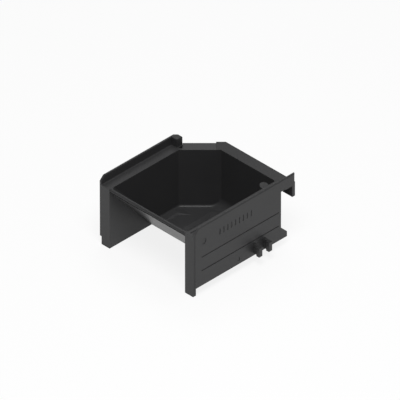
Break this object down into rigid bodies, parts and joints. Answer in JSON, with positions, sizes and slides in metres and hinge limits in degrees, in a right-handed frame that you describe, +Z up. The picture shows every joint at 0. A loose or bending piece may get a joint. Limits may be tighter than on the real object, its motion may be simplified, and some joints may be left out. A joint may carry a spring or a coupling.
{
  "type": "profile end cap",
  "caption": "Moulded end cap for a wide hollow profile: a deep tray with a sloping front wall, side skins over two slots, and a back flange with a hanging lip.",
  "frame": {"origin": "middle of the tray's length and width, on the flat underside", "axes": "+X from the front of the cap to the back flange, +Y to the left skin, +Z up out of the tray"},
  "size_m": [0.1157, 0.1169, 0.067],
  "materials": {
    "cap": "black moulded polypropylene, satin"
  },
  "bodies": {
    "root": {"end_cap": "cap"}
  },
  "joints": []
}
